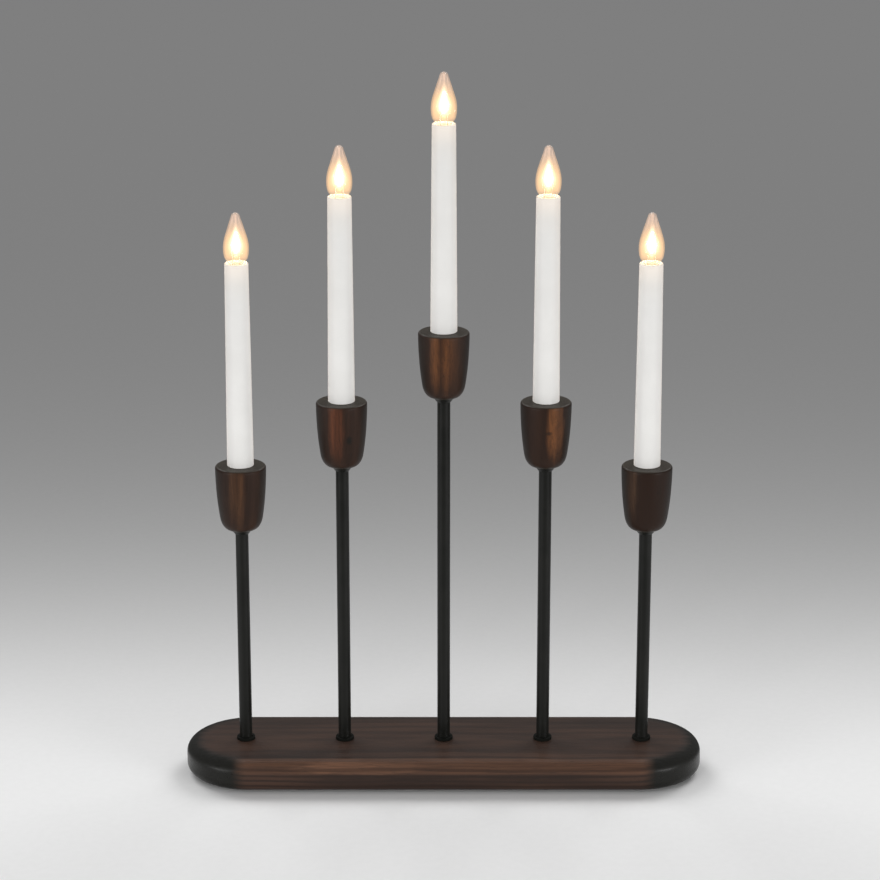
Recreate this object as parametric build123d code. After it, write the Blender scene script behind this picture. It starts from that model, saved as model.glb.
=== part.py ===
from build123d import *
import math
import os

# Electric candlestick: an oblong wooden base with five metal stems of three heights.
# Each stem carries a turned wooden cup, a candle-shaped sleeve and a screw-in flame bulb.
# Lengths are millimetres, +Z is up, the front is -Y, and the origin is on the table
# under the middle of the base. Lights are numbered 1 to 5 from -X to +X.

# Base board
base_length = 300.0
base_depth = 75.0
base_thickness = 18.0
base_top_edge = 7.0
base_bottom_edge = 5.2
base_web = 5.5
channel_width = 20.0
channel_end = 10.0
stem_hole_edge = 0.4

# Cover, its screws and the foot pads under it
cover_thickness = 2.5
cover_end = 16.0
cover_width = 56.0
screw_radius = 1.5
screw_head_radius = 3.0
screw_head_height = 1.6
screw_length = 11.0
screw_slot_width = 0.7
screw_slot_depth = 0.8
screw_pitch_x = 75.0
screw_inset = 7.0
pad_radius = 6.0
pad_thickness = 1.5
pad_inset_x = 26.0
pad_inset_y = 11.0

# Cord inlet and the terminal block behind it
inlet_x = 29.0
inlet_radius = 3.0
inlet_wall = 1.4
pocket_width = 27.0
pocket_reach = 26.0
block_width = 20.0
block_depth = 12.0
block_back_gap = 1.0
block_edge = 0.6
terminal_pitch = 10.0
terminal_bore = 1.5
terminal_screw_radius = 1.25

# Places and heights of the lights
lights_each_side = 2
outer_light_inset = 34.5
centre_rim_height = 266.0
inner_drop = 40.8
outer_drop = 37.9

# Stem tubes and what holds them
stem_radius = 3.7
stem_wall = 0.6
stem_end = 1.0
nut_across_flats = 9.4
nut_height = 2.5
nut_edge = 0.3
collar_radius = 5.3
collar_height = 1.8
collar_edge = 0.5
ferrule_radius = 6.3
ferrule_foot_radius = 4.2
ferrule_height = 2.8

# Turned cups
cup_height = 38.0
cup_radius = 14.5
cup_foot_radius = 6.6
cup_rim_edge = 1.5
socket_depth = 25.0
# Radius and height along the outside of the cup, as shares of cup_radius and cup_height
cup_side_shares = [(0.983, 0.730), (0.940, 0.485), (0.862, 0.235), (0.745, 0.075)]

# Candle sleeves
sleeve_height = 118.3
sleeve_foot_radius = 7.6
sleeve_mouth_radius = 6.7
sleeve_foot_edge = 0.5
sleeve_mouth_edge = 0.8
spigot_radius = 6.9
spigot_wall = 0.9
spigot_end_gap = 0.4
ledge_bore = 4.5
ledge_height = 1.5

# Lampholders, measured down from the mouth of the sleeve
holder_radius = 5.68
holder_top_depth = 4.0
holder_floor = 2.4
shell_wall = 0.45
shell_flange = 0.4
shell_flange_bore = 2.6
well_radius = 2.2
well_depth = 4.5
seat_height = 0.3
tag_width = 1.6
tag_thickness = 0.5
shell_tag_reach = 4.1

# Sprung centre contacts
pin_radius = 0.8
pin_head_radius = 1.8
pin_head_height = 1.0
pin_bead_radius = 1.15
pin_bead_height = 0.6
spring_radius = 1.4
spring_wire_radius = 0.2
spring_turns = 4.5

# Bulb caps with their one-start rounded thread
thread_pitch = 1.814
thread_radius = 4.5
thread_throw = 0.25
thread_length = 7.2
cap_wall = 0.25
cap_rim_depth = 3.6
cap_rim_radius = 4.9
cap_rim_height = 1.6
insulator_height = 1.3
insulator_foot_radius = 2.0
pip_radius = 1.5
pip_height = 0.5

# Flame-shaped bulbs
bulb_height = 28.6
bulb_radius = 7.2
bulb_neck_radius = 4.2
bulb_neck_depth = 6.0
glass_wall = 0.6
bulb_tip_radius = 2.4
# Where the round of the tip starts, in degrees above its centre
bulb_tip_start = 16
# Radius and height along the outside of the glass, as shares of bulb_radius and bulb_height
bulb_side_shares = [
    (0.655, 0.0), (0.850, 0.077), (0.955, 0.160), (1.0, 0.275), (0.945, 0.430), (0.760, 0.600)]
# How firmly that side keeps its direction where it leaves the neck and where it meets the tip
bulb_end_shares = [1.0, 1.0]
glass_stem_radius = 1.3
glass_stem_top = 4.0
lead_radius = 0.22
lead_offset = 2.0
filament_radius = 0.6
filament_bottom = 5.4
filament_top = 16.6
lead_bend = 1.0

# Wires
wire_radius = 0.7
wire_bend = 3.0
wire_lane = 7.0
wire_entry = 5.0

# Fits and cuts
push_fit = 0.05
wire_clearance = 0.1
thread_clearance = 0.13
pin_clearance = 0.15
contact_gap = 0.02
recess_clearance = 0.3
bead_clearance = 0.3
thread_mouth_gap = 0.4
cut_overrun = 1.0

UP = (Align.CENTER, Align.CENTER, Align.MIN)

# Levels and places worked out from the sizes above
contact_travel = thread_pitch
board_bottom = pad_thickness
board_top = board_bottom + base_thickness
cover_top = board_bottom + cover_thickness
channel_top = board_top - base_web
stem_bottom = channel_top - nut_height - stem_end
wire_level = stem_bottom - wire_bend - wire_radius
stem_bore = stem_radius - stem_wall
wire_offset = stem_bore - wire_radius - wire_clearance
outer_light_x = base_length / 2 - outer_light_inset
light_spacing = outer_light_x / lights_each_side
cover_length = 2 * (outer_light_x + cover_end)
inlet_level = (board_bottom + base_bottom_edge + board_top - base_top_edge) / 2
terminal_xs = (inlet_x - terminal_pitch / 2, inlet_x + terminal_pitch / 2)
block_front = pocket_reach - block_back_gap - block_depth
thread_top_depth = cap_rim_depth + cap_rim_height
thread_foot_depth = thread_top_depth + thread_length
pip_depth = thread_foot_depth + insulator_height + pip_height
shell_radius = thread_radius + thread_throw + thread_clearance + shell_wall
pocket_floor_depth = pip_depth + contact_gap + shell_flange
well_floor_depth = pocket_floor_depth + well_depth
holder_foot_depth = well_floor_depth + holder_floor
pin_foot_depth = holder_foot_depth + contact_travel + bead_clearance + pin_bead_height
sleeve_bore = holder_radius + push_fit


def light_places():
    return range(-lights_each_side, lights_each_side + 1)


def light_x(place):
    return place * light_spacing


def rim_height(place):
    drops = [inner_drop, outer_drop]
    return centre_rim_height - sum(drops[:abs(place)])


def mouth_height(place):
    return rim_height(place) + sleeve_height


def rod(radius, bottom, top):
    return Pos(0, 0, bottom) * Cylinder(radius, top - bottom, align=UP)


def ring(radius, bore, bottom, top):
    return rod(radius, bottom, top) - rod(bore, bottom - cut_overrun, top + cut_overrun)


def box(x_range, y_range, z_range):
    size = [high - low for low, high in (x_range, y_range, z_range)]
    corner = Pos(x_range[0], y_range[0], z_range[0])
    return corner * Box(*size, align=(Align.MIN, Align.MIN, Align.MIN))


def oblong(length, width, bottom, top):
    outline = SlotOverall(length, width)
    return Pos(0, 0, bottom) * extrude(outline, top - bottom)


def group(solids):
    return Compound(children=list(solids))


def at_lights(make_one):
    """One copy of a piece at every stem, on the table's level."""
    return group(Pos(light_x(place), 0, 0) * make_one() for place in light_places())


def screw_places():
    row = (cover_width / 2 - screw_inset, screw_inset - cover_width / 2)
    return [Pos(column * screw_pitch_x, y, 0) for column in (-1, 0, 1) for y in row]


def pad_places():
    x = cover_length / 2 - pad_inset_x
    y = cover_width / 2 - pad_inset_y
    return [Pos(side * x, end * y, 0) for side in (-1, 1) for end in (-1, 1)]


def base_board():
    board = oblong(base_length, base_depth, board_bottom, board_top)
    board = fillet(board.edges().group_by(Axis.Z)[-1], base_top_edge)
    board = fillet(board.edges().group_by(Axis.Z)[0], base_bottom_edge)
    recess_length = cover_length + 2 * recess_clearance
    recess_width = cover_width + 2 * recess_clearance
    board -= oblong(recess_length, recess_width, board_bottom - cut_overrun, cover_top)
    channel_length = 2 * (outer_light_x + channel_end)
    board -= oblong(channel_length, channel_width, board_bottom, channel_top)
    half_pocket = pocket_width / 2
    pocket_x = (inlet_x - half_pocket, inlet_x + half_pocket)
    board -= box(pocket_x, (0, pocket_reach), (board_bottom, channel_top))
    board -= inlet_axis() * rod(inlet_radius + inlet_wall, -base_depth / 2, cut_overrun)
    for place in light_places():
        hole = rod(stem_radius + push_fit, channel_top - cut_overrun, board_top + cut_overrun)
        board -= Pos(light_x(place), 0, 0) * hole
    for spot in screw_places():
        board -= spot * rod(screw_radius, board_bottom, board_bottom + screw_length)
    return board


def inlet_axis():
    """Frame of the cord inlet: its Z runs out through the rear face of the base."""
    return Location((inlet_x, base_depth / 2, inlet_level), (-90, 0, 0))


def bottom_cover():
    cover = oblong(cover_length, cover_width, board_bottom, cover_top)
    for spot in screw_places():
        cover -= spot * rod(screw_radius, board_bottom - cut_overrun, cover_top + cut_overrun)
        cover -= spot * screw_head()
    return cover


def screw_head():
    head = Cone(screw_head_radius, screw_radius, screw_head_height, align=UP)
    return Pos(0, 0, board_bottom) * head


def cover_screw():
    shank = rod(screw_radius, board_bottom, board_bottom + screw_length)
    screw = shank + screw_head()
    slot = Box(2 * screw_head_radius, screw_slot_width, screw_slot_depth, align=UP)
    return screw - Pos(0, 0, board_bottom) * slot


def cord_grommet():
    length = base_depth / 2 - pocket_reach
    return inlet_axis() * ring(inlet_radius + inlet_wall, inlet_radius, -length, 0)


def terminal_block():
    half_width = block_width / 2
    x_range = (inlet_x - half_width, inlet_x + half_width)
    y_range = (block_front, block_front + block_depth)
    block = box(x_range, y_range, (cover_top + recess_clearance, channel_top))
    block = fillet(block.edges().filter_by(Axis.Z), block_edge)
    for x in terminal_xs:
        bore = rod(terminal_bore, -cut_overrun, block_depth + cut_overrun)
        block -= Location((x, block_front, wire_level), (-90, 0, 0)) * bore
        block -= terminal_screw(x)
    return block


def terminal_screw(x):
    top = wire_level - wire_radius - push_fit
    screw = rod(terminal_screw_radius, cover_top + recess_clearance, top)
    return Pos(x, block_front + block_depth / 2, 0) * screw


def stem_tube(place):
    top = rim_height(place) - socket_depth + nut_height + stem_end
    return Pos(light_x(place), 0, 0) * ring(stem_radius, stem_bore, stem_bottom, top)


def hex_nut(bottom):
    flats = RegularPolygon(nut_across_flats / 2, 6, major_radius=False)
    nut = Pos(0, 0, bottom) * extrude(flats, nut_height)
    corner_radius = nut_across_flats / math.sqrt(3)
    turned = chamfer(rod(corner_radius, bottom, bottom + nut_height).edges(), nut_edge)
    return (nut & turned) - rod(stem_radius + push_fit, bottom - cut_overrun, bottom + 2 * nut_height)


def foot_collar():
    collar = rod(collar_radius, board_top, board_top + collar_height)
    collar = fillet(collar.edges().group_by(Axis.Z)[-1], collar_edge)
    return collar - rod(stem_radius + push_fit, board_top - cut_overrun, board_top + 2 * collar_height)


def cup_ferrule():
    """Cone under a cup, with its flat top at height 0."""
    cone = Pos(0, 0, -ferrule_height) * Cone(ferrule_foot_radius, ferrule_radius, ferrule_height, align=UP)
    return cone - rod(stem_radius + push_fit, -2 * ferrule_height, cut_overrun)


def cup():
    """Turned cup with its rim at height 0, its grain along Z and a blind socket from the top."""
    side = [(r * cup_radius, (h - 1) * cup_height) for r, h in cup_side_shares]
    rim = (cup_radius, -cup_rim_edge)
    foot = (cup_foot_radius, -cup_height)
    with BuildPart() as turned:
        with BuildSketch(Plane.XZ):
            with BuildLine():
                wall = Spline(rim, *side, foot, tangents=[(0, -1), (-1, 0)])
                arc = RadiusArc(wall @ 0, (cup_radius - cup_rim_edge, 0), -cup_rim_edge)
                Polyline(wall @ 1, (0, -cup_height), (0, 0), arc @ 1)
            make_face()
        revolve(axis=Axis.Z)
    body = turned.part - rod(spigot_radius + push_fit, -socket_depth, cut_overrun)
    return body - rod(stem_radius + push_fit, -cup_height - cut_overrun, 0)


def candle_sleeve():
    """Sleeve that stands on the cup's rim at height 0, with a ledge that carries the lampholder."""
    shaft = Cone(sleeve_foot_radius, sleeve_mouth_radius, sleeve_height, align=UP)
    shaft = fillet(shaft.edges().group_by(Axis.Z)[-1], sleeve_mouth_edge)
    shaft = fillet(shaft.edges().group_by(Axis.Z)[0], sleeve_foot_edge)
    spigot_foot = spigot_end_gap - socket_depth
    shaft += rod(spigot_radius, spigot_foot, sleeve_foot_edge)
    ledge_top = sleeve_height - holder_foot_depth
    shaft -= rod(sleeve_bore, ledge_top, sleeve_height + cut_overrun)
    shaft -= rod(ledge_bore, ledge_top - cut_overrun - ledge_height, ledge_top + cut_overrun)
    return shaft - rod(spigot_radius - spigot_wall, spigot_foot - cut_overrun, ledge_top - ledge_height)


def screw_thread(radius, top_depth, foot_depth):
    """Rounded one-start thread: a circle set off the axis and turned once in every pitch."""
    length = foot_depth - top_depth
    section = Wire.make_circle(radius, Plane(origin=(thread_throw, 0, 0)))
    turns = 360 * length / thread_pitch
    thread = Solid.extrude_linear_with_rotation(section, (0, 0, 0), (0, 0, length), turns)
    start = -360 * foot_depth / thread_pitch
    return Pos(0, 0, -foot_depth) * Rot(0, 0, start) * thread


def lampholder():
    """Moulded holder below the sleeve's mouth at height 0."""
    holder = rod(holder_radius, -holder_foot_depth, -holder_top_depth)
    holder -= rod(shell_radius + push_fit, -pocket_floor_depth, cut_overrun)
    holder -= rod(well_radius, -well_floor_depth, 0)
    holder -= rod(pin_radius + pin_clearance, -holder_foot_depth - cut_overrun, 0)
    holder -= shell_tag()
    return holder - contact_tag()


def socket_shell():
    """Brass shell with the thread that the bulb screws into, closed below by a flange."""
    top_depth = thread_top_depth + thread_mouth_gap
    shell = rod(shell_radius, -pocket_floor_depth, -top_depth)
    flange_top = pocket_floor_depth - shell_flange
    thread = screw_thread(thread_radius + thread_clearance, top_depth - cut_overrun, flange_top)
    shell -= rod(shell_flange_bore, -pocket_floor_depth - cut_overrun, 0)
    return shell - thread


def tag_leg(x_range):
    half_width = tag_width / 2
    z_range = (-holder_foot_depth - tag_thickness, -holder_foot_depth)
    return box(x_range, (-half_width, half_width), z_range)


def shell_tag():
    """Strip from the shell's flange down through the holder to its wire."""
    half_width = tag_width / 2
    x_range = (-shell_tag_reach, -shell_tag_reach + tag_thickness)
    strip = box(x_range, (-half_width, half_width), (-holder_foot_depth, -pocket_floor_depth))
    return strip + tag_leg((-shell_tag_reach, wire_radius - wire_offset))


def contact_tag():
    """Seat of the contact's spring, with a strip down through the holder to its wire."""
    seat_top = seat_height - well_floor_depth
    seat = ring(well_radius, pin_radius + pin_clearance, -well_floor_depth, seat_top)
    half_width = tag_width / 2
    inner = wire_offset - wire_radius
    strip_x = (inner, inner + tag_thickness)
    strip = box(strip_x, (-half_width, half_width), (-holder_foot_depth, -well_floor_depth))
    return seat + strip + tag_leg((inner, wire_offset + wire_radius))


def contact_pin():
    head_top = -pip_depth - contact_gap
    head = rod(pin_head_radius, head_top - pin_head_height, head_top)
    shank = rod(pin_radius, -pin_foot_depth, head_top - pin_head_height)
    bead = rod(pin_bead_radius, -pin_foot_depth, pin_bead_height - pin_foot_depth)
    return head + shank + bead


def contact_spring():
    bottom = seat_height - well_floor_depth + spring_wire_radius + contact_gap
    top = -pip_depth - contact_gap - pin_head_height - spring_wire_radius - contact_gap
    path = Helix((top - bottom) / spring_turns, top - bottom, spring_radius)
    section = Plane(path @ 0, z_dir=path % 0) * Circle(spring_wire_radius)
    return Pos(0, 0, bottom) * sweep(section, path=path, is_frenet=True)


def bulb_outline(inset):
    """Revolved outside of the glass, or its inside when inset by the wall."""
    side = [(r * bulb_radius - inset, h * bulb_height) for r, h in bulb_side_shares]
    neck_foot = (bulb_neck_radius - inset, -bulb_neck_depth)
    neck_top = (bulb_neck_radius - inset, -cap_rim_depth)
    tip_centre = (0, bulb_height - bulb_tip_radius)
    with BuildPart() as turned:
        with BuildSketch(Plane.XZ):
            with BuildLine():
                tip = CenterArc(tip_centre, bulb_tip_radius - inset, bulb_tip_start, 90 - bulb_tip_start)
                ends = {"tangents": [(0, 1), tip % 0], "tangent_scalars": bulb_end_shares}
                Spline(neck_top, *side, tip @ 0, **ends)
                Polyline(tip @ 1, (0, -bulb_neck_depth), neck_foot, neck_top)
            make_face()
        revolve(axis=Axis.Z)
    return turned.part


def bulb_glass():
    """Hollow flame with an open neck, and the glass stem that stands inside it."""
    hollow = bulb_outline(glass_wall) + rod(
        bulb_neck_radius - glass_wall, -bulb_neck_depth - cut_overrun, -cap_rim_depth)
    stem = rod(glass_stem_radius, -thread_foot_depth, glass_stem_top)
    stem = fillet(stem.edges().group_by(Axis.Z)[-1], glass_stem_radius / 2)
    return group([bulb_outline(0) - hollow, stem])


def bulb_cap():
    """Brass cap with its thread, the insulator under it and the centre contact."""
    rim = rod(cap_rim_radius, -thread_top_depth, -cap_rim_depth)
    shell = screw_thread(thread_radius, thread_top_depth, thread_foot_depth) + rim
    shell -= rod(thread_radius - thread_throw - cap_wall, -thread_foot_depth - cut_overrun, -bulb_neck_depth)
    shell -= rod(bulb_neck_radius, -bulb_neck_depth, cut_overrun)
    insulator_radius = thread_radius - thread_throw
    insulator_foot = -thread_foot_depth - insulator_height
    insulator = Pos(0, 0, insulator_foot) * Cone(
        insulator_foot_radius, insulator_radius, insulator_height, align=UP)
    pip = rod(pip_radius, -pip_depth, insulator_foot)
    return group([shell, insulator, pip])


def bulb_filament():
    """Upright filament between two lead wires that rise from the cap's insulator."""
    low = filament_bottom - lead_bend
    high = filament_top + lead_bend
    left = Polyline((-lead_offset, 0, -thread_foot_depth), (-lead_offset, 0, low), (0, 0, filament_bottom))
    right = Polyline((lead_offset, 0, -thread_foot_depth), (lead_offset, 0, filament_top), (0, 0, high))
    filament = rod(filament_radius, filament_bottom, high)
    for path in (left, right):
        section = Plane(path @ 0, z_dir=path % 0) * Circle(lead_radius)
        filament += sweep(section, path=path, transition=Transition.RIGHT)
    return filament


def wire_along(points):
    path = FilletPolyline(*points, radius=wire_bend)
    section = Plane(path @ 0, z_dir=path % 0) * Circle(wire_radius)
    return sweep(section, path=path)


def wire_top(place):
    return mouth_height(place) - holder_foot_depth - tag_thickness


def link_wire(place):
    """From the contact tag of one light down its stem and up the next one to the shell tag."""
    start_x = light_x(place) + wire_offset
    end_x = light_x(place + 1) - wire_offset
    return wire_along([
        (start_x, 0, wire_top(place)), (start_x, 0, wire_level),
        (end_x, 0, wire_level), (end_x, 0, wire_top(place + 1))])


def feed_wire(side):
    """From an outer light along the channel's rear lane into the terminal block."""
    place = side * lights_each_side
    x = light_x(place) + side * wire_offset
    terminal_x = inlet_x + side * terminal_pitch / 2
    return wire_along([
        (x, 0, wire_top(place)), (x, 0, wire_level), (x, wire_lane, wire_level),
        (terminal_x, wire_lane, wire_level), (terminal_x, block_front + wire_entry, wire_level)])


def wiring():
    links = [link_wire(place) for place in light_places() if place < lights_each_side]
    return group(links + [feed_wire(-1), feed_wire(1)])


def shared_pieces():
    """Pieces of the stand that aren't numbered by light."""
    return {
        "base_board": base_board(),
        "bottom_cover": bottom_cover(),
        "cover_screws": group(spot * cover_screw() for spot in screw_places()),
        "foot_pads": group(spot * rod(pad_radius, 0, pad_thickness) for spot in pad_places()),
        "cord_grommet": cord_grommet(),
        "terminal_block": terminal_block(),
        "terminal_screws": group(terminal_screw(x) for x in terminal_xs),
        "foot_collars": at_lights(foot_collar),
        "stem_nuts": at_lights(lambda: hex_nut(channel_top - nut_height)),
        "cup_ferrules": group(at_rim(place, -cup_height) * cup_ferrule() for place in light_places()),
        "cup_nuts": group(at_rim(place, -socket_depth) * hex_nut(0) for place in light_places()),
        "socket_shells": group(at_mouth(place) * socket_shell() for place in light_places()),
        "wire_tags": group(
            at_mouth(place) * tag for place in light_places() for tag in (shell_tag(), contact_tag())),
        "wiring": wiring(),
    }


def at_rim(place, lift=0):
    return Pos(light_x(place), 0, rim_height(place) + lift)


def at_mouth(place):
    return Pos(light_x(place), 0, mouth_height(place))


def light_pieces(number, place):
    """Pieces of one light, each in a node of its own."""
    return {
        f"stem_tube_{number}": stem_tube(place),
        f"cup_{number}": at_rim(place) * cup(),
        f"candle_sleeve_{number}": at_rim(place) * candle_sleeve(),
        f"lampholder_{number}": at_mouth(place) * lampholder(),
        f"contact_spring_{number}": at_mouth(place) * contact_spring(),
        f"contact_pin_{number}": at_mouth(place) * contact_pin(),
        f"bulb_cap_{number}": at_mouth(place) * bulb_cap(),
        f"bulb_glass_{number}": at_mouth(place) * bulb_glass(),
        f"bulb_filament_{number}": at_mouth(place) * bulb_filament(),
    }


def main():
    os.makedirs("parts", exist_ok=True)
    pieces = shared_pieces()
    for number, place in enumerate(light_places(), start=1):
        pieces.update(light_pieces(number, place))
    for name, shape in pieces.items():
        export_step(shape, f"parts/{name}.step")
    print(len(pieces), "nodes")


main()
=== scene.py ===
import math

import bmesh
import bpy
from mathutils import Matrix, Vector


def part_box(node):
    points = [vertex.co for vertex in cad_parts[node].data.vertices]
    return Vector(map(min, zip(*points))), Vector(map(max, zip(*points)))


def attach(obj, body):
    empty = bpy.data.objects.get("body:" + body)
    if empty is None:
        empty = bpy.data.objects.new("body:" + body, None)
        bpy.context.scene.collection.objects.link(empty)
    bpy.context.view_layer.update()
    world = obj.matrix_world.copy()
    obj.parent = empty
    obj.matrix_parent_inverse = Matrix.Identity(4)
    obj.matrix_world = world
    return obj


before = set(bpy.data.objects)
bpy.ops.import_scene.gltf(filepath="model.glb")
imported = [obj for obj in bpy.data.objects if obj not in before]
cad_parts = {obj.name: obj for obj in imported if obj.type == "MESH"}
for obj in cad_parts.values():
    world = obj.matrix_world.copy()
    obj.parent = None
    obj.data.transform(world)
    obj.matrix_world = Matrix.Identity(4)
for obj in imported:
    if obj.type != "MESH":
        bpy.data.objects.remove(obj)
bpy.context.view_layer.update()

# Electric candlestick with five lights. All lengths are metres in the frame of the part:
# +Z is up, the front is -Y, and lights are numbered 1 to 5 from -X to +X.
MM = 0.001
LIGHTS = range(1, 6)

# Camera, fitted to the outline of the base, the cup rims and the sleeve mouths
camera_pitch = math.radians(17.42)
camera_distance = 1.7
camera_lens = 122.725
camera_sensor = 36.0
camera_target = Vector((-2.14 * MM, 0, 202.2 * MM))

# Lamps: where each stands, seen from the object, and its share of the plain light level
plain_level = math.pi ** 2
lamps = {
    "key_softbox": {"azimuth": -26, "height": 42, "distance": 6.6, "size": (1.3, 1.3), "share": 0.07},
    "left_front_softbox": {"azimuth": -52, "height": 6, "distance": 7.8, "size": (3.6, 1.5), "share": 0.40},
    "right_front_softbox": {"azimuth": 50, "height": 6, "distance": 7.8, "size": (3.6, 1.5), "share": 0.445},
    "left_back_softbox": {"azimuth": -140, "height": 45, "distance": 6.6, "size": (3.4, 3.4), "share": 0.37},
    "right_back_softbox": {"azimuth": 140, "height": 45, "distance": 6.6, "size": (3.4, 3.4), "share": 0.37},
}
lamp_target = Vector((0, 0, 0.2))
ambient_level = 0.34
backdrop_grey = 0.215

# Floor: a painted pool of light, pale near a point just in front of the object and grey far from it.
# Distances are shortened sideways, and at floor_half the paleness is halfway between the two.
floor_reach = 30.0
floor_centre = (0, 90 * MM, 0)
floor_stretch = 6.0
floor_near = 0.88
floor_far = 0.187
floor_half = 0.33
floor_power = 2.75

# Bulb: its filament and the gas in its glass, with heights from the mouth of the sleeve
coil_foot = 5.4 * MM
coil_head = 17.4 * MM
coil_radius = 0.62 * MM
coil_wire = 0.16 * MM
coil_turns = 38
glass_gap = 0.25 * MM
# Height and radius in mm along the inside of the glass
glass_inside = [
    (-5.0, 3.5), (-1.5, 3.7), (0.0, 4.05), (1.1, 4.8), (2.2, 5.45), (4.5, 6.25), (7.9, 6.6), (12.3, 6.2),
    (17.2, 4.85), (21.5, 3.5), (24.5, 2.6), (26.3, 1.85), (27.3, 1.2)]

# Flame shape of the glow: the heights between which it widens, narrows, rises and fades, its reach
# from the axis while it widens, and the share of that reach that is left when it has narrowed
flame_level = 600.0
flame_colour = (1.0, 0.78, 0.53)
flame_widening = (1.0 * MM, 9.5 * MM)
flame_reach = (1.1 * MM, 2.5 * MM)
flame_narrowing = (9.5 * MM, 21.0 * MM)
flame_narrowed = (1.0, 0.42)
flame_rise = (2.4 * MM, 8.6 * MM)
flame_fade = (23.5 * MM, 14.0 * MM)

# Fainter haze that fills the bulb: the heights between which it rises and fades, with its shares
# and levels there
haze_colour = (1.0, 0.62, 0.30)
haze_rise = (-1.0 * MM, 7.0 * MM)
haze_shares = (0.35, 1.0)
haze_fade = (24.0 * MM, 7.0 * MM)
haze_levels = (8.0, 44.0)


def light_axis(number):
    low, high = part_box(f"candle_sleeve_{number}")
    return (low.x + high.x) / 2


def rim_level(number):
    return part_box(f"cup_{number}")[1].z


def mouth_level(number):
    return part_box(f"candle_sleeve_{number}")[1].z


# Shorthands for node trees


def add_node(tree, kind, inputs=None, **settings):
    """A new node. Each input is a plain value or the output socket that feeds it."""
    node = tree.nodes.new(kind)
    for name, value in settings.items():
        setattr(node, name, value)
    for name, value in (inputs or {}).items():
        if isinstance(value, bpy.types.NodeSocket):
            tree.links.new(value, node.inputs[name])
        else:
            node.inputs[name].default_value = value
    return node


def calculate(tree, operation, *values, clamp=False):
    inputs = dict(enumerate(values))
    return add_node(tree, "ShaderNodeMath", inputs, operation=operation, use_clamp=clamp).outputs[0]


def vector_math(tree, operation, *values):
    node = add_node(tree, "ShaderNodeVectorMath", dict(enumerate(values)), operation=operation)
    return node.outputs["Value" if operation in ("LENGTH", "DOT_PRODUCT") else "Vector"]


def mapped(tree, vector, location=(0, 0, 0), rotation=(0, 0, 0), scale=(1, 1, 1)):
    inputs = {"Vector": vector, "Location": location, "Rotation": rotation, "Scale": scale}
    return add_node(tree, "ShaderNodeMapping", inputs).outputs["Vector"]


def noise(tree, vector, scale, detail=2.0, roughness=0.5, distortion=0.0):
    inputs = {
        "Vector": vector, "Scale": scale, "Detail": detail, "Roughness": roughness,
        "Distortion": distortion}
    return add_node(tree, "ShaderNodeTexNoise", inputs).outputs["Fac"]


def spread(tree, value, low, high, to_low=0.0, to_high=1.0, smooth=True):
    """Maps low..high of the value to to_low..to_high and clamps it there."""
    inputs = {"Value": value, "From Min": low, "From Max": high, "To Min": to_low, "To Max": to_high}
    kind = "SMOOTHSTEP" if smooth else "LINEAR"
    return add_node(tree, "ShaderNodeMapRange", inputs, interpolation_type=kind).outputs["Result"]


def blend_colours(tree, share, first, second, mode="MIX"):
    node = add_node(tree, "ShaderNodeMix", data_type="RGBA", blend_type=mode)
    for socket, value in ((node.inputs[0], share), (node.inputs[6], first), (node.inputs[7], second)):
        if isinstance(value, bpy.types.NodeSocket):
            tree.links.new(value, socket)
        else:
            socket.default_value = value if isinstance(value, (int, float)) else (*value, 1.0)
    return node.outputs[2]


def relief(tree, height, strength, distance):
    inputs = {"Height": height, "Strength": strength, "Distance": distance}
    return add_node(tree, "ShaderNodeBump", inputs).outputs["Normal"]


def coordinates(tree, kind="Object"):
    return add_node(tree, "ShaderNodeTexCoord").outputs[kind]


def axes_of(tree, vector):
    node = add_node(tree, "ShaderNodeSeparateXYZ", {"Vector": vector})
    return node.outputs["X"], node.outputs["Y"], node.outputs["Z"]


def new_material(name, **constants):
    """A material with one Principled shader. The constants are its plain socket values."""
    material = bpy.data.materials.new(name)
    material.use_nodes = True
    tree = material.node_tree
    shader = tree.nodes["Principled BSDF"]
    for socket, value in constants.items():
        shader.inputs[socket.replace("_", " ")].default_value = value
    return material, tree, shader


def new_group(name, inputs, outputs):
    """A shader node group. Inputs are (name, kind, default), outputs are (name, kind)."""
    tree = bpy.data.node_groups.new(name, "ShaderNodeTree")
    for label, kind, default in inputs:
        socket = tree.interface.new_socket(label, in_out="INPUT", socket_type=kind)
        if default is not None:
            socket.default_value = default
    for label, kind in outputs:
        tree.interface.new_socket(label, in_out="OUTPUT", socket_type=kind)
    return tree, tree.nodes.new("NodeGroupInput").outputs, tree.nodes.new("NodeGroupOutput").inputs


def place_group(tree, group, **inputs):
    """Places a group in a material. An input's name is written with _ for its spaces."""
    node = add_node(tree, "ShaderNodeGroup", node_tree=group)
    for label, value in inputs.items():
        socket = node.inputs[label.replace("_", " ")]
        if isinstance(value, bpy.types.NodeSocket):
            tree.links.new(value, socket)
        else:
            socket.default_value = value
    return node.outputs


# Shared effects


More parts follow.
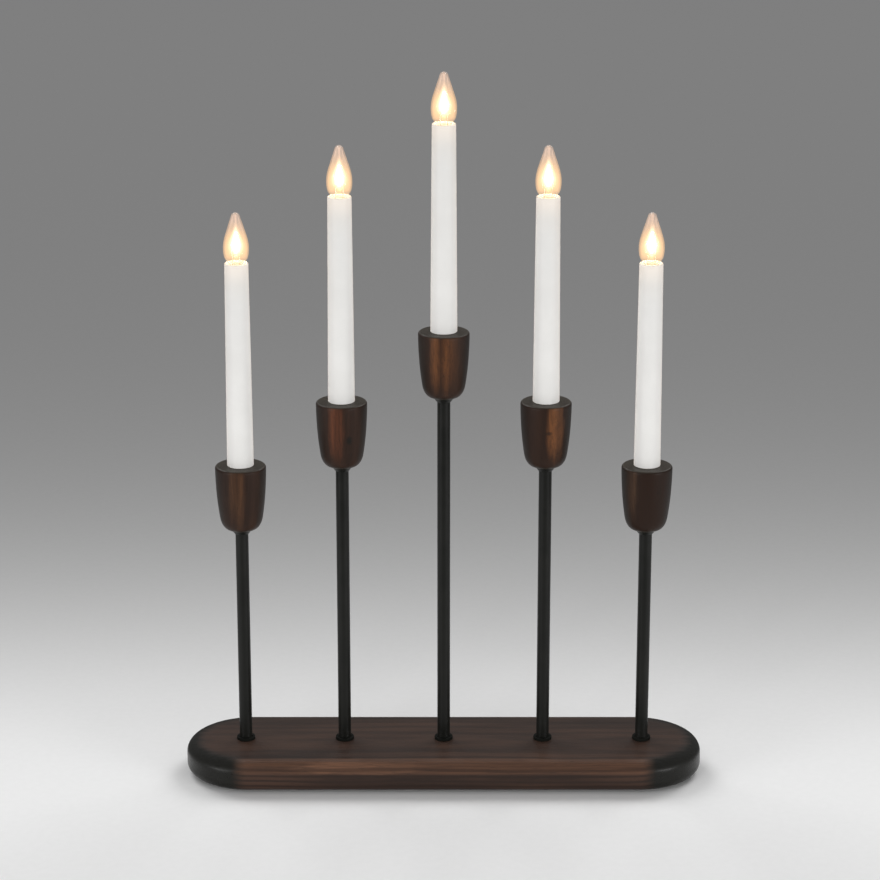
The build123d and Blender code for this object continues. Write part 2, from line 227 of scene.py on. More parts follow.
def make_wood_grain():
    """Growth rings, fibres and pores of wood whose grain runs along X and whose pith is the X axis."""
    tree, given, made = new_group(
        "wood_grain",
        [("Vector", "NodeSocketVector", None), ("Ring Width", "NodeSocketFloat", 3 * MM),
         ("Waver", "NodeSocketFloat", 6 * MM)],
        [("Rings", "NodeSocketFloat"), ("Fibres", "NodeSocketFloat"), ("Pores", "NodeSocketFloat"),
         ("Cloud", "NodeSocketFloat")])
    place = given["Vector"]
    slow = mapped(tree, place, scale=(7, 34, 34))
    shift = add_node(tree, "ShaderNodeTexNoise", {"Vector": slow, "Scale": 1.0, "Detail": 3.0})
    offset = vector_math(tree, "SUBTRACT", shift.outputs["Color"], (0.5, 0.5, 0.5))
    waver = add_node(
        tree, "ShaderNodeCombineXYZ", {"X": 0.0, "Y": given["Waver"], "Z": given["Waver"]}).outputs["Vector"]
    bent = vector_math(tree, "ADD", place, vector_math(tree, "MULTIPLY", offset, waver))
    across = vector_math(tree, "MULTIPLY", bent, (0, 1, 1))
    phase = calculate(tree, "DIVIDE", vector_math(tree, "LENGTH", across), given["Ring Width"])
    wave = calculate(tree, "SINE", calculate(tree, "MULTIPLY", phase, math.tau))
    late_wood = spread(tree, wave, -0.35, 0.95)
    fibres = noise(tree, mapped(tree, bent, scale=(22, 900, 900)), 1.0, 4.0, 0.62)
    fine = noise(tree, mapped(tree, bent, scale=(90, 3200, 3200)), 1.0, 2.0, 0.5)
    tree.links.new(late_wood, made["Rings"])
    tree.links.new(spread(tree, fibres, 0.30, 0.70), made["Fibres"])
    tree.links.new(spread(tree, fine, 0.60, 0.72), made["Pores"])
    cloud = noise(tree, mapped(tree, place, scale=(9, 60, 60)), 1.0, 3.0, 0.55)
    tree.links.new(spread(tree, cloud, 0.35, 0.65), made["Cloud"])
    return tree


def make_patch():
    """A soft-edged patch: 1 at its centre and 0 beyond its reach along each axis."""
    tree, given, made = new_group(
        "soft_patch",
        [("Vector", "NodeSocketVector", None), ("Centre", "NodeSocketVector", None),
         ("Reach", "NodeSocketVector", (0.01, 0.01, 0.01)), ("Raggedness", "NodeSocketFloat", 0.3)],
        [("Mask", "NodeSocketFloat")])
    away = vector_math(tree, "SUBTRACT", given["Vector"], given["Centre"])
    shares = vector_math(tree, "DIVIDE", away, given["Reach"])
    ragged = noise(tree, shares, 2.3, 3.0, 0.6)
    wander = calculate(tree, "MULTIPLY", calculate(tree, "SUBTRACT", ragged, 0.5), given["Raggedness"])
    distance = calculate(tree, "ADD", vector_math(tree, "LENGTH", shares), wander)
    tree.links.new(spread(tree, distance, 1.0, 0.35), made["Mask"])
    return tree


def make_speckle():
    """The fine orange peel of coats and mouldings, and the slow drift of their gloss."""
    tree, given, made = new_group(
        "fine_speckle",
        [("Vector", "NodeSocketVector", None), ("Grain", "NodeSocketFloat", 0.5 * MM),
         ("Drift", "NodeSocketFloat", 12 * MM)],
        [("Speckle", "NodeSocketFloat"), ("Smudge", "NodeSocketFloat")])
    per_grain = calculate(tree, "DIVIDE", 1.0, given["Grain"])
    per_drift = calculate(tree, "DIVIDE", 1.0, given["Drift"])
    tree.links.new(noise(tree, given["Vector"], per_grain, 2.0, 0.55), made["Speckle"])
    smudge = noise(tree, given["Vector"], per_drift, 4.0, 0.6)
    tree.links.new(spread(tree, smudge, 0.32, 0.68), made["Smudge"])
    return tree


def make_drawn_lines():
    """Fine lines along one axis, as on drawn, rolled or turned metal."""
    tree, given, made = new_group(
        "drawn_lines",
        [("Vector", "NodeSocketVector", None), ("Stretch", "NodeSocketVector", (400, 9000, 9000))],
        [("Lines", "NodeSocketFloat")])
    stretched = vector_math(tree, "MULTIPLY", given["Vector"], given["Stretch"])
    tree.links.new(spread(tree, noise(tree, stretched, 1.0, 3.0, 0.6), 0.3, 0.7), made["Lines"])
    return tree


wood_grain = make_wood_grain()
soft_patch = make_patch()
fine_speckle = make_speckle()
drawn_lines = make_drawn_lines()


# Materials


# Stains of the wood, from the near black of the base's ends to the warm colour of the painted light along its
# front
stain_end = (0.0065, 0.0063, 0.0048)
stain_black = (0.011, 0.0108, 0.0092)
stain_dark = (0.022, 0.0125, 0.0092)
stain_mid = (0.057, 0.0295, 0.0195)
stain_rim = (0.041, 0.034, 0.026)
stain_lit_and_streaks = (0.145, 0.072, 0.043)

# Base: its dark round ends, and the paler band of painted light along the upper part of its front
end_middle = 112.5 * MM
end_dark_radii = (28 * MM, 36 * MM)
end_dark_from = (113 * MM, 123 * MM)
lit_band_depths = (-28.6 * MM, -31 * MM)
lit_band_heights = (11.8 * MM, 14.0 * MM)
lit_band_strength = 0.55
top_streak_strength = 0.12
base_paleness = 0.92

# Cups: the stain of the bands of painted light on each and the paleness of its other wood, then the
# bands of painted light across its front, where the lamps light it (middle and reach in mm, and
# strength), and a knot on two of them (its place across and up from the rim, its reach across and up
# in mm, and its strength)
cup_lit_stains_and_paleness = {
    1: ((0.140, 0.066, 0.032), 0.90), 2: ((0.132, 0.046, 0.023), 0.80), 3: ((0.150, 0.060, 0.025), 0.85),
    4: ((0.155, 0.062, 0.025), 0.60), 5: ((0.110, 0.058, 0.032), 0.42)}
cup_lit_bands = {
    1: [(-1.5, 6.0, 0.5), (1.0, 2.5, 0.3)],
    2: [(-2.9, 5.6, 0.98)],
    3: [(-4.6, 4.2, 1.0), (0.9, 3.8, 0.85), (5.2, 4.0, 0.5)],
    4: [(4.8, 6.2, 1.2)],
    5: [(-9.6, 4.6, 0.5)]}
cup_knots = {2: (4.6, -19.5, 2.2, 3.4, 0.8), 4: (1.4, -15.0, 2.4, 1.5, 0.6)}
cup_front = -14 * MM
cup_lit_band_middle = -12 * MM
cup_lit_band_reach = 28 * MM


def stained(tree, shader, grain, end_grain_and_shade, end_grain_and_shade_stain, lit_and_streaks, lit_and_streak_stain, ring_depth_and_shade, paleness, dulled=0.0):
    """Finishes stained wood. Grain is the wood_grain outputs. The first mask is end grain, with painted
    shade on the sides of the cups, and the second is painted light on the fronts, with streaks in the
    base's grain; each is the mask of its stain. The depth of the rings is their contrast, which on the
    base grows towards the bottom as painted shade, and dulled adds to the roughness."""
    mid = tuple(paleness * part for part in stain_mid)
    body = blend_colours(tree, grain["Cloud"], stain_dark, mid)
    body = blend_colours(tree, calculate(tree, "MULTIPLY", grain["Fibres"], 0.35), body, mid)
    lit_and_streak_share = calculate(tree, "MULTIPLY", lit_and_streaks, spread(tree, grain["Fibres"], 0.0, 1.0, 1.0, 0.55))
    body = blend_colours(tree, lit_and_streak_share, body, lit_and_streak_stain)
    ring_share = calculate(tree, "MULTIPLY", grain["Rings"], ring_depth_and_shade)
    body = blend_colours(tree, ring_share, body, stain_dark)
    body = blend_colours(tree, calculate(tree, "MULTIPLY", grain["Pores"], 0.5), body, stain_black)
    tree.links.new(blend_colours(tree, end_grain_and_shade, body, end_grain_and_shade_stain), shader.inputs["Base Color"])
    dull = calculate(tree, "ADD", calculate(tree, "MULTIPLY", grain["Pores"], 0.2), dulled)
    rough = calculate(tree, "ADD", spread(tree, grain["Fibres"], 0.0, 1.0, 0.34, 0.46, smooth=False), dull)
    tree.links.new(rough, shader.inputs["Roughness"])
    groove = calculate(tree, "ADD", grain["Pores"], calculate(tree, "MULTIPLY", grain["Rings"], 0.4))
    sunk = calculate(tree, "MULTIPLY", groove, -1.0)
    tree.links.new(relief(tree, sunk, 0.35, 0.06 * MM), shader.inputs["Normal"])


def base_wood():
    """The board: its grain runs along X, and its rounded ends have drunk the stain."""
    material, tree, shader = new_material("stained_wood_base", Specular_IOR_Level=0.22)
    place = coordinates(tree)
    in_log = mapped(tree, place, location=(0, 6 * MM, 34 * MM))
    grain = place_group(tree, wood_grain, Vector=in_log, Ring_Width=2.6 * MM, Waver=7 * MM)
    across, deep, high = axes_of(tree, place)
    facing = axes_of(tree, coordinates(tree, "Normal"))
    turned_out = spread(tree, calculate(tree, "ABSOLUTE", facing[0]), 0.12, 0.38)
    ragged = noise(tree, mapped(tree, place, scale=(40, 300, 300)), 1.0)
    along = calculate(tree, "ABSOLUTE", across)
    past_middle = calculate(tree, "MAXIMUM", calculate(tree, "SUBTRACT", along, end_middle), 0.0)
    from_middle = add_node(tree, "ShaderNodeCombineXYZ", {"X": past_middle, "Y": deep, "Z": 0.0})
    radius = vector_math(tree, "LENGTH", from_middle.outputs["Vector"])
    outward = calculate(tree, "ADD", radius, calculate(tree, "MULTIPLY", ragged, 5 * MM))
    rounded = calculate(
        tree, "MULTIPLY", spread(tree, outward, *end_dark_radii), spread(tree, along, *end_dark_from))
    end_grain_and_shade = calculate(tree, "MAXIMUM", turned_out, rounded)
    front_streak = place_group(
        tree, soft_patch, Vector=place, Centre=(-48 * MM, -37 * MM, 17 * MM),
        Reach=(46 * MM, 6 * MM, 5 * MM), Raggedness=0.7)["Mask"]
    top_streak = place_group(
        tree, soft_patch, Vector=place, Centre=(30 * MM, -24 * MM, 20.5 * MM),
        Reach=(120 * MM, 5 * MM, 6 * MM), Raggedness=0.9)["Mask"]
    # Painted light: the rounded upper edge of the front, which faces the lamps, gets a paler warm band. The
    # front streak and the faint top streak are added to it.
    lit_band = calculate(
        tree, "MULTIPLY", spread(tree, deep, *lit_band_depths), spread(tree, high, *lit_band_heights))
    lit_band_and_front_streak = calculate(
        tree, "ADD", calculate(tree, "MULTIPLY", lit_band, lit_band_strength), front_streak, clamp=True)
    top_warm = calculate(tree, "MULTIPLY", top_streak, top_streak_strength)
    lit_and_streaks = calculate(tree, "ADD", lit_band_and_front_streak, top_warm, clamp=True)
    dulled = calculate(tree, "MULTIPLY", end_grain_and_shade, spread(tree, facing[2], 0.15, 0.55, -0.09, 0.4))
    # Painted shade: the rings darken the wood more towards the bottom of the board.
    ring_depth_and_shade = spread(tree, high, 13 * MM, 10.5 * MM, 0.5, 0.8)
    stained(
        tree, shader, grain, end_grain_and_shade, stain_end, lit_and_streaks, stain_lit_and_streaks, ring_depth_and_shade, base_paleness, dulled)
    return material


def cup_wood(number):
    """A turned cup: its grain runs along Z, with the rings cut flat at its front and back. Painted light
    makes warm bands across its front, and painted shade darkens its sides.
    """
    material, tree, shader = new_material(f"stained_wood_cup_{number}", Specular_IOR_Level=0.12)
    axis, rim = light_axis(number), rim_level(number)
    place = mapped(tree, coordinates(tree), location=(-axis, 0, -rim))
    cut_from = (17 * MM * number, 9 * MM, 15 * MM)
    upright = mapped(tree, place, location=cut_from, rotation=(0, math.radians(90), 0))
    grain = place_group(tree, wood_grain, Vector=upright, Ring_Width=8 * MM, Waver=15 * MM)
    facing = axes_of(tree, coordinates(tree, "Normal"))
    # Painted shade: the left and right sides of the cup are darkened to near black along with the end grain.
    sides = spread(tree, calculate(tree, "ABSOLUTE", facing[0]), 0.60, 1.05)
    flat_ends = spread(tree, calculate(tree, "ABSOLUTE", facing[2]), 0.5, 0.9)
    end_grain_and_shade = calculate(tree, "MAXIMUM", calculate(tree, "MULTIPLY", sides, 0.75), flat_ends)

    def patch(across, up, reach_across, reach_up, raggedness, strength):
        mask = place_group(
            tree, soft_patch, Vector=place, Centre=(across * MM, cup_front, up),
            Reach=(reach_across * MM, -cup_front, reach_up), Raggedness=raggedness)["Mask"]
        return calculate(tree, "MULTIPLY", mask, strength)

    # Painted light: warm, paler bands across the front of the cup, where the lamps light it; their places
    # differ from cup to cup.
    lit_and_streaks = 0.0
    for across, reach, strength in cup_lit_bands[number]:
        lit_band = patch(across, cup_lit_band_middle, reach, cup_lit_band_reach, 0.55, strength)
        lit_and_streaks = calculate(tree, "MAXIMUM", lit_and_streaks, lit_band)
    if number in cup_knots:
        across, up, reach_across, reach_up, strength = cup_knots[number]
        knot = patch(across, up * MM, reach_across, reach_up * MM, 0.5, strength)
        end_grain_and_shade = calculate(tree, "MAXIMUM", end_grain_and_shade, knot)
    lit_and_streak_stain, paleness = cup_lit_stains_and_paleness[number]
    end_grain_and_shade_stain = blend_colours(tree, flat_ends, stain_black, stain_rim)
    stained(tree, shader, grain, end_grain_and_shade, end_grain_and_shade_stain, lit_and_streaks, lit_and_streak_stain, 0.4, paleness)
    return material


def black_coat(name, gloss, low, high):
    """Satin black powder coat."""
    material, tree, shader = new_material(name, Specular_IOR_Level=gloss)
    peel = place_group(tree, fine_speckle, Vector=coordinates(tree), Grain=0.35 * MM, Drift=18 * MM)
    tree.links.new(blend_colours(tree, peel["Smudge"], (0.0060, 0.0063, 0.0052), (0.0085, 0.0086, 0.0072)),
                   shader.inputs["Base Color"])
    tree.links.new(spread(tree, peel["Smudge"], 0, 1, low, high), shader.inputs["Roughness"])
    tree.links.new(relief(tree, peel["Speckle"], 0.25, 0.03 * MM), shader.inputs["Normal"])
    return material


def sleeve_plastic(number):
    """Smooth white moulding, with painted light of the bulb near its mouth: its colour is warmed there,
    and its upturned mouth and the inside below it glow.
    """
    material, tree, shader = new_material(
        f"sleeve_plastic_{number}", Specular_IOR_Level=0.4, Sheen_Weight=0.8, Sheen_Roughness=0.5,
        Sheen_Tint=(1.0, 0.86, 0.76, 1.0))
    place = mapped(tree, coordinates(tree), location=(-light_axis(number), 0, -mouth_level(number)))
    height = axes_of(tree, place)[2]
    peel = place_group(tree, fine_speckle, Vector=place, Grain=0.8 * MM, Drift=22 * MM)
    # Painted light of the bulb: the colour warms towards the mouth.
    glow = spread(tree, height, -26 * MM, 0.0)
    plain = blend_colours(tree, peel["Smudge"], (0.84, 0.832, 0.81), (0.87, 0.862, 0.84))
    warmed = blend_colours(tree, calculate(tree, "MULTIPLY", glow, 0.5), plain, (0.86, 0.80, 0.72))
    upward = axes_of(tree, coordinates(tree, "Normal"))[2]
    # Painted light of the bulb on the upturned face of the mouth, in its colour and in its glow.
    rim = calculate(tree, "MULTIPLY", spread(tree, upward, 0.2, 0.8), spread(tree, height, -3 * MM, -1 * MM))
    tree.links.new(blend_colours(tree, rim, warmed, (0.80, 0.74, 0.62)), shader.inputs["Base Color"])
    tree.links.new(spread(tree, peel["Smudge"], 0, 1, 0.30, 0.42), shader.inputs["Roughness"])
    tree.links.new(relief(tree, peel["Speckle"], 0.12, 0.02 * MM), shader.inputs["Normal"])
    # Painted glow: the bulb's light shines faintly towards the mouth, and more on the inside just below it.
    lit = spread(tree, height, -14 * MM, 0.5 * MM)
    shine = blend_colours(tree, lit, (0, 0, 0), (0.12, 0.08, 0.05))
    flat_place = vector_math(tree, "MULTIPLY", place, (1, 1, 0))
    outward = vector_math(tree, "DOT_PRODUCT", coordinates(tree, "Normal"), flat_place)
    lit_inside = calculate(
        tree, "MULTIPLY", spread(tree, outward, -1 * MM, -3 * MM), spread(tree, height, -16 * MM, -3 * MM))
    shine = blend_colours(tree, lit_inside, shine, (0.50, 0.41, 0.29))
    tree.links.new(blend_colours(tree, rim, shine, (0.05, 0.035, 0.02)), shader.inputs["Emission Color"])
    shader.inputs["Emission Strength"].default_value = 1.0
    return material


def metal(name, pale, deep, low, high, stretch):
    """Plated or drawn metal with fine lines and a little tarnish."""
    material, tree, shader = new_material(name, Metallic=1.0)
    place = coordinates(tree)
    lines = place_group(tree, drawn_lines, Vector=place, Stretch=stretch)["Lines"]
    smudge = place_group(tree, fine_speckle, Vector=place, Grain=0.4 * MM, Drift=6 * MM)["Smudge"]
    tree.links.new(blend_colours(tree, smudge, pale, deep), shader.inputs["Base Color"])
    tree.links.new(spread(tree, lines, 0, 1, low, high), shader.inputs["Roughness"])
    tree.links.new(relief(tree, lines, 0.2, 0.01 * MM), shader.inputs["Normal"])
    return material


def moulding(name, pale, deep, low, high, grain):
    """Moulded plastic or rubber with a fine texture."""
    material, tree, shader = new_material(name)
    peel = place_group(tree, fine_speckle, Vector=coordinates(tree), Grain=grain, Drift=9 * MM)
    tree.links.new(blend_colours(tree, peel["Smudge"], pale, deep), shader.inputs["Base Color"])
    tree.links.new(spread(tree, peel["Speckle"], 0.3, 0.7, low, high), shader.inputs["Roughness"])
    tree.links.new(relief(tree, peel["Speckle"], 0.3, 0.05 * MM), shader.inputs["Normal"])
    return material


def pressed_board():
    """Brown hardboard with matted fibres."""
    material, tree, shader = new_material("hardboard_cover", Specular_IOR_Level=0.3)
    place = coordinates(tree)
    fibres = noise(tree, place, 900.0, 5.0, 0.7, 1.5)
    cloud = noise(tree, place, 45.0, 3.0)
    body = blend_colours(tree, spread(tree, fibres, 0.35, 0.65), (0.10, 0.055, 0.028), (0.21, 0.125, 0.07))
    body = blend_colours(tree, spread(tree, cloud, 0.35, 0.65, 0, 0.4), body, (0.13, 0.072, 0.038))
    tree.links.new(body, shader.inputs["Base Color"])
    tree.links.new(spread(tree, fibres, 0.3, 0.7, 0.7, 0.88), shader.inputs["Roughness"])
    tree.links.new(relief(tree, fibres, 0.5, 0.08 * MM), shader.inputs["Normal"])
    return material


def felt():
    """Dense black felt pads."""
    material, tree, shader = new_material("felt_pads", Specular_IOR_Level=0.15, Sheen_Weight=0.4)
    fibres = noise(tree, coordinates(tree), 2600.0, 4.0, 0.75, 2.5)
    body = blend_colours(tree, spread(tree, fibres, 0.3, 0.7), (0.012, 0.012, 0.012), (0.05, 0.05, 0.048))
    tree.links.new(body, shader.inputs["Base Color"])
    tree.links.new(spread(tree, fibres, 0.3, 0.7, 0.85, 1.0), shader.inputs["Roughness"])
    tree.links.new(relief(tree, fibres, 0.8, 0.2 * MM), shader.inputs["Normal"])
    return material


def see_through_for_lamps(material, tree, shader):
    """Lets lamp light pass the glass, so that the filament lights what is round it."""
    clear = add_node(tree, "ShaderNodeBsdfTransparent", {"Color": (1.0, 0.98, 0.95, 1.0)})
    ray = add_node(tree, "ShaderNodeLightPath").outputs["Is Shadow Ray"]
    mix = add_node(tree, "ShaderNodeMixShader", {0: ray, 1: shader.outputs["BSDF"], 2: clear.outputs["BSDF"]})
    tree.links.new(mix.outputs["Shader"], tree.nodes["Material Output"].inputs["Surface"])


def bulb_glass(number):
    """Clear thin glass that glows in the light of its filament, with draw marks that run up to the tip."""
    material, tree, shader = new_material(
        f"clear_glass_bulb_{number}", Transmission_Weight=1.0, IOR=1.12, Base_Color=(1.0, 0.985, 0.96, 1.0))
    place = mapped(tree, coordinates(tree), location=(-light_axis(number), 0, -mouth_level(number)))
    streaks = noise(tree, mapped(tree, place, scale=(900, 900, 60)), 1.0, 2.0, 0.5)
    tree.links.new(spread(tree, streaks, 0.3, 0.7, 0.03, 0.08), shader.inputs["Roughness"])
    tree.links.new(relief(tree, streaks, 0.08, 0.03 * MM), shader.inputs["Normal"])
    height = axes_of(tree, place)[2]
    drawn = spread(tree, height, 12 * MM, 26 * MM)
    glow = blend_colours(tree, drawn, (0.15, 0.085, 0.035), (0.12, 0.078, 0.056))
    marks = spread(tree, streaks, 0.35, 0.65, 0.5, 1.5)
    marked = blend_colours(tree, calculate(tree, "MULTIPLY", drawn, 0.8), (1, 1, 1), marks)
    lit = spread(tree, height, -1 * MM, 3 * MM)
    glow = blend_colours(tree, 1.0, glow, marked, mode="MULTIPLY")
    glow = blend_colours(tree, 1.0, glow, lit, mode="MULTIPLY")
    tree.links.new(glow, shader.inputs["Emission Color"])
    shader.inputs["Emission Strength"].default_value = 1.0
    see_through_for_lamps(material, tree, shader)
    return material


def hot_wire(number):
    """The filament and its wires: white-hot in the coil and plain metal below and beside it."""
    material, tree, shader = new_material(f"filament_lit_{number}", Roughness=0.5, Metallic=1.0)
    place = mapped(tree, coordinates(tree), location=(-light_axis(number), 0, -mouth_level(number)))
    heat = noise(tree, place, 700.0, 2.0)
    tree.links.new(blend_colours(tree, heat, (0.5, 0.45, 0.4), (0.7, 0.62, 0.5)), shader.inputs["Base Color"])
    from_axis = vector_math(tree, "LENGTH", vector_math(tree, "MULTIPLY", place, (1, 1, 0)))
    height = axes_of(tree, place)[2]
    risen = spread(tree, height, coil_foot - 0.8 * MM, coil_foot + 1.5 * MM)
    lit = calculate(tree, "MULTIPLY", spread(tree, from_axis, 1.4 * MM, 1.0 * MM), risen)
    glow = blend_colours(tree, heat, (1.0, 0.72, 0.36), (1.0, 0.86, 0.60))
    tree.links.new(blend_colours(tree, 1.0, glow, lit, mode="MULTIPLY"), shader.inputs["Emission Color"])
    shader.inputs["Emission Strength"].default_value = 1.6
    return material


def glowing_gas(number):
    """The haze of light round the filament inside the bulb."""
    material = bpy.data.materials.new(f"bulb_glow_{number}")
    material.use_nodes = True
    tree = material.node_tree
    tree.nodes.remove(tree.nodes["Principled BSDF"])
    output = tree.nodes["Material Output"]
    clear = add_node(tree, "ShaderNodeBsdfTransparent")
    tree.links.new(clear.outputs["BSDF"], output.inputs["Surface"])
    place = mapped(tree, coordinates(tree), location=(-light_axis(number), 0, -mouth_level(number)))
    z = axes_of(tree, place)[2]
    from_axis = vector_math(tree, "LENGTH", vector_math(tree, "MULTIPLY", place, (1, 1, 0)))
    wide = spread(tree, z, *flame_widening, *flame_reach)
    narrow = spread(tree, z, *flame_narrowing, *flame_narrowed)
    reach = calculate(tree, "MULTIPLY", wide, narrow)
    share = calculate(tree, "DIVIDE", from_axis, reach)
    squared = calculate(tree, "MULTIPLY", share, share)
    core = calculate(tree, "EXPONENT", calculate(tree, "MULTIPLY", squared, -1.0))
    height = calculate(tree, "MULTIPLY", spread(tree, z, *flame_rise), spread(tree, z, *flame_fade))
    bright = calculate(tree, "MULTIPLY", calculate(tree, "MULTIPLY", core, height), flame_level)
    veil = calculate(
        tree, "MULTIPLY", spread(tree, z, *haze_fade, *haze_levels),
        spread(tree, z, *haze_rise, *haze_shares))
    flame = vector_math(tree, "MULTIPLY", flame_colour, bright)
    haze = vector_math(tree, "MULTIPLY", haze_colour, veil)
    both = vector_math(tree, "ADD", flame, haze)
    glow = add_node(tree, "ShaderNodeEmission", {"Color": both, "Strength": 1.0})
    tree.links.new(glow.outputs["Emission"], output.inputs["Volume"])
    return material


# Pieces


def link_mesh(name, mesh):
    thing = bpy.data.objects.new(name, mesh)
    bpy.context.scene.collection.objects.link(thing)
    return thing


def smooth_curve(points, steps):
    """Points on a smooth curve through the given ones, with the same number of steps between each two."""
    ends = [points[0], *points, points[-1]]
    line = []
    for a, b, c, d in zip(ends, ends[1:], ends[2:], ends[3:]):
        for i in range(steps):
            t = i / steps
            line.append(tuple(
                0.5 * (
                    2 * q + (r - p) * t + (2 * p - 5 * q + 4 * r - s) * t * t
                    + (3 * q - p - 3 * r + s) * t ** 3)
                for p, q, r, s in zip(a, b, c, d)))
    return [*line, points[-1]]


def turned(name, profile, axis, level, sides):
    """A closed shape turned about an upright axis. The profile is (height, radius) from foot to head."""
    shape = bmesh.new()
    angles = [math.tau * i / sides for i in range(sides)]
    rings = [
        [shape.verts.new((axis + r * math.cos(a), r * math.sin(a), level + h)) for a in angles]
        for h, r in profile]
    for lower, upper in zip(rings, rings[1:]):
        for i in range(sides):
            j = (i + 1) % sides
            shape.faces.new((lower[i], lower[j], upper[j], upper[i]))
    for ring, (h, _), flip in ((rings[0], profile[0], True), (rings[-1], profile[-1], False)):
        pole = shape.verts.new((axis, 0, level + h))
        for i in range(sides):
            corner = (ring[i], ring[(i + 1) % sides], pole)
            shape.faces.new(corner[::-1] if flip else corner)
    for face in shape.faces:
        face.smooth = True
    mesh = bpy.data.meshes.new(name)
    shape.to_mesh(mesh)
    shape.free()
    return link_mesh(name, mesh)


def make_filament_tree():
    """Geometry nodes for the fine coil of the filament."""
    tree = bpy.data.node_groups.new("coiled_filament", "GeometryNodeTree")
    tree.interface.new_socket("Geometry", in_out="OUTPUT", socket_type="NodeSocketGeometry")
    for label, kind in (
            ("Turns", "NodeSocketFloat"), ("Coil Radius", "NodeSocketFloat"),
            ("Coil Height", "NodeSocketFloat"), ("Wire Radius", "NodeSocketFloat"),
            ("Place", "NodeSocketVector"), ("Material", "NodeSocketMaterial")):
        tree.interface.new_socket(label, in_out="INPUT", socket_type=kind)
    given = tree.nodes.new("NodeGroupInput").outputs
    spiral = add_node(tree, "GeometryNodeCurveSpiral", {
        "Resolution": 12, "Rotations": given["Turns"], "Start Radius": given["Coil Radius"],
        "End Radius": given["Coil Radius"], "Height": given["Coil Height"]})
    section = add_node(tree, "GeometryNodeCurvePrimitiveCircle", {
        "Resolution": 5, "Radius": given["Wire Radius"]})
    wire = add_node(tree, "GeometryNodeCurveToMesh", {
        "Curve": spiral.outputs["Curve"], "Profile Curve": section.outputs["Curve"], "Fill Caps": True})
    placed = add_node(tree, "GeometryNodeTransform", {
        "Geometry": wire.outputs["Mesh"], "Translation": given["Place"]})
    smooth = add_node(tree, "GeometryNodeSetShadeSmooth", {"Geometry": placed.outputs["Geometry"]})
    real = add_node(tree, "GeometryNodeRealizeInstances", {"Geometry": smooth.outputs["Geometry"]})
    finished = add_node(tree, "GeometryNodeSetMaterial", {
        "Geometry": real.outputs["Geometry"], "Material": given["Material"]})
    output = tree.nodes.new("NodeGroupOutput")
    tree.links.new(finished.outputs["Geometry"], output.inputs["Geometry"])
    return tree


def grow(name, tree, **values):
    """A plain mesh made by a tree of geometry nodes with the given inputs."""
    seed = link_mesh(name + "_seed", bpy.data.meshes.new(name + "_seed"))
    modifier = seed.modifiers.new("grow", "NODES")
    modifier.node_group = tree
    for item in tree.interface.items_tree:
        if item.in_out == "INPUT" and item.name.replace(" ", "_") in values:
            modifier[item.identifier] = values[item.name.replace(" ", "_")]
    seed.update_tag()
    graph = bpy.context.evaluated_depsgraph_get()
    mesh = bpy.data.meshes.new_from_object(seed.evaluated_get(graph))
    mesh.name = name
    bpy.data.objects.remove(seed)
    return link_mesh(name, mesh)


def add_coil(number, tree, material):
    foot = Vector((light_axis(number), 0, mouth_level(number) + coil_foot))
    coil = grow(
        f"filament_coil_{number}", tree, Turns=float(coil_turns), Coil_Radius=coil_radius,
        Coil_Height=coil_head - coil_foot, Wire_Radius=coil_wire, Place=foot, Material=material)
    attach(coil, f"bulb_{number}")
    return coil


def add_glow(number):
    profile = [(h * MM, r * MM - glass_gap) for h, r in glass_inside]
    gas = turned(f"fill_gas_{number}", smooth_curve(profile, 4), light_axis(number), mouth_level(number), 48)
    gas.data.materials.append(glowing_gas(number))
    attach(gas, f"bulb_{number}")
    return gas


def dress(node, material):
    """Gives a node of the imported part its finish."""
    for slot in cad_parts[node].material_slots:
        slot.material = material


def dress_all():
    coil_tree = make_filament_tree()
    wood = base_wood()
    coat = black_coat("black_metal_coat", 0.2, 0.34, 0.44)
    collar_coat = black_coat("black_collar_coat", 0.05, 0.55, 0.70)
    zinc = metal("zinc_steel_plate", (0.62, 0.62, 0.60), (0.48, 0.49, 0.50), 0.28, 0.45, (2500, 2500, 600))
    brass = metal("brass_drawn", (0.78, 0.58, 0.26), (0.60, 0.43, 0.19), 0.22, 0.38, (700, 700, 6000))
    steel = metal("spring_steel_wire", (0.55, 0.55, 0.55), (0.42, 0.42, 0.43), 0.25, 0.4, (3000, 3000, 3000))
    nylon = moulding("white_nylon_moulding", (0.76, 0.75, 0.71), (0.68, 0.67, 0.63), 0.45, 0.6, 0.5 * MM)
    sheath = moulding("wire_sheath", (0.74, 0.74, 0.72), (0.66, 0.66, 0.64), 0.4, 0.55, 0.4 * MM)
    rubber = moulding(
        "black_rubber_grommet", (0.016, 0.016, 0.016), (0.028, 0.028, 0.027), 0.6, 0.8, 0.3 * MM)
    shared = {
        "base_board": wood, "bottom_cover": pressed_board(), "cover_screws": zinc, "foot_pads": felt(),
        "cord_grommet": rubber, "terminal_block": nylon, "terminal_screws": zinc, "foot_collars": collar_coat,
        "stem_nuts": zinc, "cup_ferrules": coat, "cup_nuts": zinc, "socket_shells": brass,
        "wire_tags": brass, "wiring": sheath}
    for node, material in shared.items():
        dress(node, material)
    for number in LIGHTS:
        own = {
            "stem_tube": coat, "cup": cup_wood(number), "candle_sleeve": sleeve_plastic(number),
            "lampholder": nylon, "contact_spring": steel, "contact_pin": brass, "bulb_cap": brass,
            "bulb_glass": bulb_glass(number), "bulb_filament": hot_wire(number)}
        for node, material in own.items():
            dress(f"{node}_{number}", material)
        add_coil(number, coil_tree, own["bulb_filament"])
        add_glow(number)


# Stage


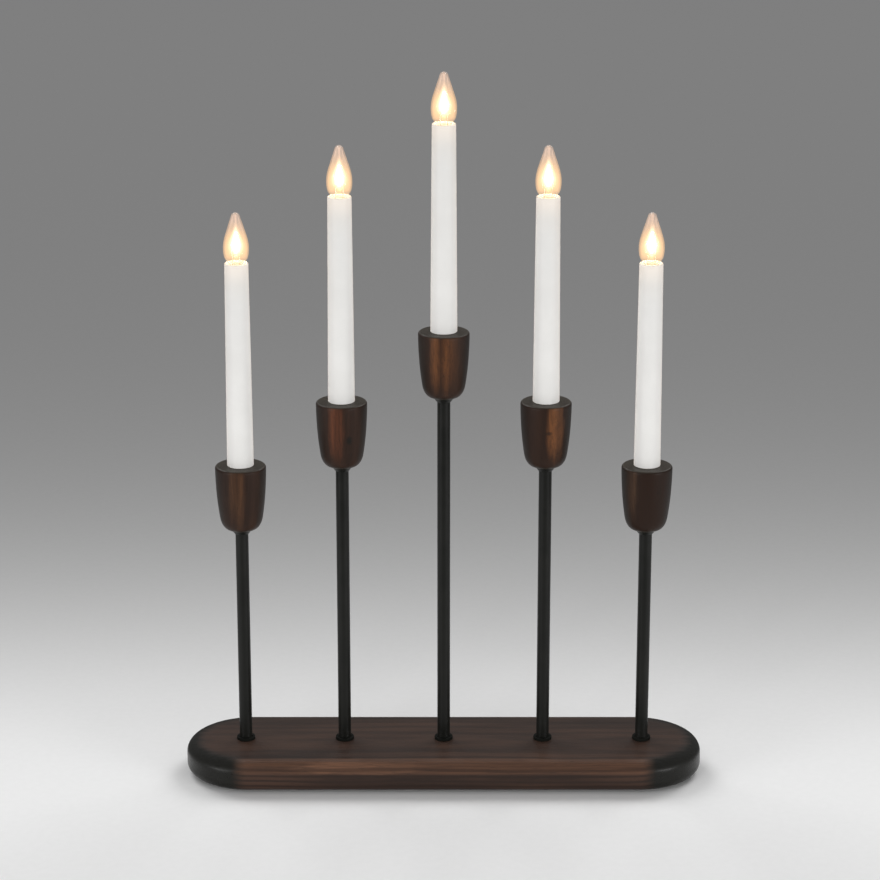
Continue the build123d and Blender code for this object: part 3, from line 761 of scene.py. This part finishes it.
def seen_from(target, azimuth, height, distance):
    """A point at that distance from the target. Azimuth 0 is in front of the object, and +90 at its right."""
    a, h = math.radians(azimuth), math.radians(height)
    return target + distance * Vector((math.sin(a) * math.cos(h), -math.cos(a) * math.cos(h), math.sin(h)))


def add_lamp(name, azimuth, height, distance, size, share):
    lamp = bpy.data.lights.new(name, "AREA")
    lamp.shape = "RECTANGLE"
    lamp.size, lamp.size_y = size
    lamp.energy = share * plain_level * distance ** 2
    thing = link_mesh(name, lamp)
    thing.location = seen_from(lamp_target, azimuth, height, distance)
    thing.rotation_euler = (lamp_target - thing.location).to_track_quat("-Z", "Y").to_euler()
    return thing


def floor_finish():
    """Pale paper with a painted pool of light, which darkens with the distance from the object."""
    material, tree, shader = new_material("studio_floor", Roughness=0.9, Specular_IOR_Level=0.1)
    place = coordinates(tree)
    from_centre = mapped(tree, place, location=floor_centre, scale=(1 / floor_stretch, 1, 0))
    share = calculate(tree, "DIVIDE", vector_math(tree, "LENGTH", from_centre), floor_half)
    steep = calculate(tree, "ADD", calculate(tree, "POWER", share, floor_power), 1.0)
    above_far = calculate(tree, "DIVIDE", floor_near - floor_far, steep)
    paleness = calculate(tree, "ADD", above_far, floor_far)
    fleck = spread(tree, noise(tree, place, 220.0, 3.0), 0.3, 0.7, 0.985, 1.0)
    tree.links.new(calculate(tree, "MULTIPLY", paleness, fleck), shader.inputs["Base Color"])
    return material


def add_floor():
    shape = bmesh.new()
    corners = [(-1, -1), (1, -1), (1, 1), (-1, 1)]
    shape.faces.new([shape.verts.new((x * floor_reach, y * floor_reach, 0)) for x, y in corners])
    mesh = bpy.data.meshes.new("studio_floor")
    shape.to_mesh(mesh)
    shape.free()
    mesh.materials.append(floor_finish())
    floor = link_mesh("studio_floor", mesh)
    return floor


def light_world():
    """Even ambient light, with a plain grey backdrop for what is seen or mirrored."""
    world = bpy.data.worlds.new("studio")
    bpy.context.scene.world = world
    world.use_nodes = True
    tree = world.node_tree
    ambient = tree.nodes["Background"]
    ambient.inputs["Color"].default_value = (1, 1, 1, 1)
    ambient.inputs["Strength"].default_value = ambient_level
    backdrop = add_node(tree, "ShaderNodeBackground", {"Color": (backdrop_grey,) * 3 + (1,), "Strength": 1.0})
    ray = add_node(tree, "ShaderNodeLightPath").outputs
    mirrored = calculate(tree, "MAXIMUM", ray["Is Glossy Ray"], ray["Is Transmission Ray"])
    seen = calculate(tree, "MAXIMUM", ray["Is Camera Ray"], mirrored)
    mix = add_node(tree, "ShaderNodeMixShader", {
        0: seen, 1: ambient.outputs["Background"], 2: backdrop.outputs["Background"]})
    tree.links.new(mix.outputs["Shader"], tree.nodes["World Output"].inputs["Surface"])


def add_camera():
    camera = bpy.data.cameras.new("camera")
    camera.lens, camera.sensor_width = camera_lens, camera_sensor
    camera.clip_end = 4 * floor_reach
    thing = link_mesh("camera", camera)
    ahead = Vector((0, math.cos(camera_pitch), -math.sin(camera_pitch)))
    thing.location = camera_target - camera_distance * ahead
    thing.rotation_euler = ahead.to_track_quat("-Z", "Y").to_euler()
    bpy.context.scene.camera = thing


def main():
    add_camera()
    add_floor()
    light_world()
    for name, lamp in lamps.items():
        add_lamp(name, **lamp)
    dress_all()
    bpy.context.scene.view_settings.view_transform = "Standard"


main()
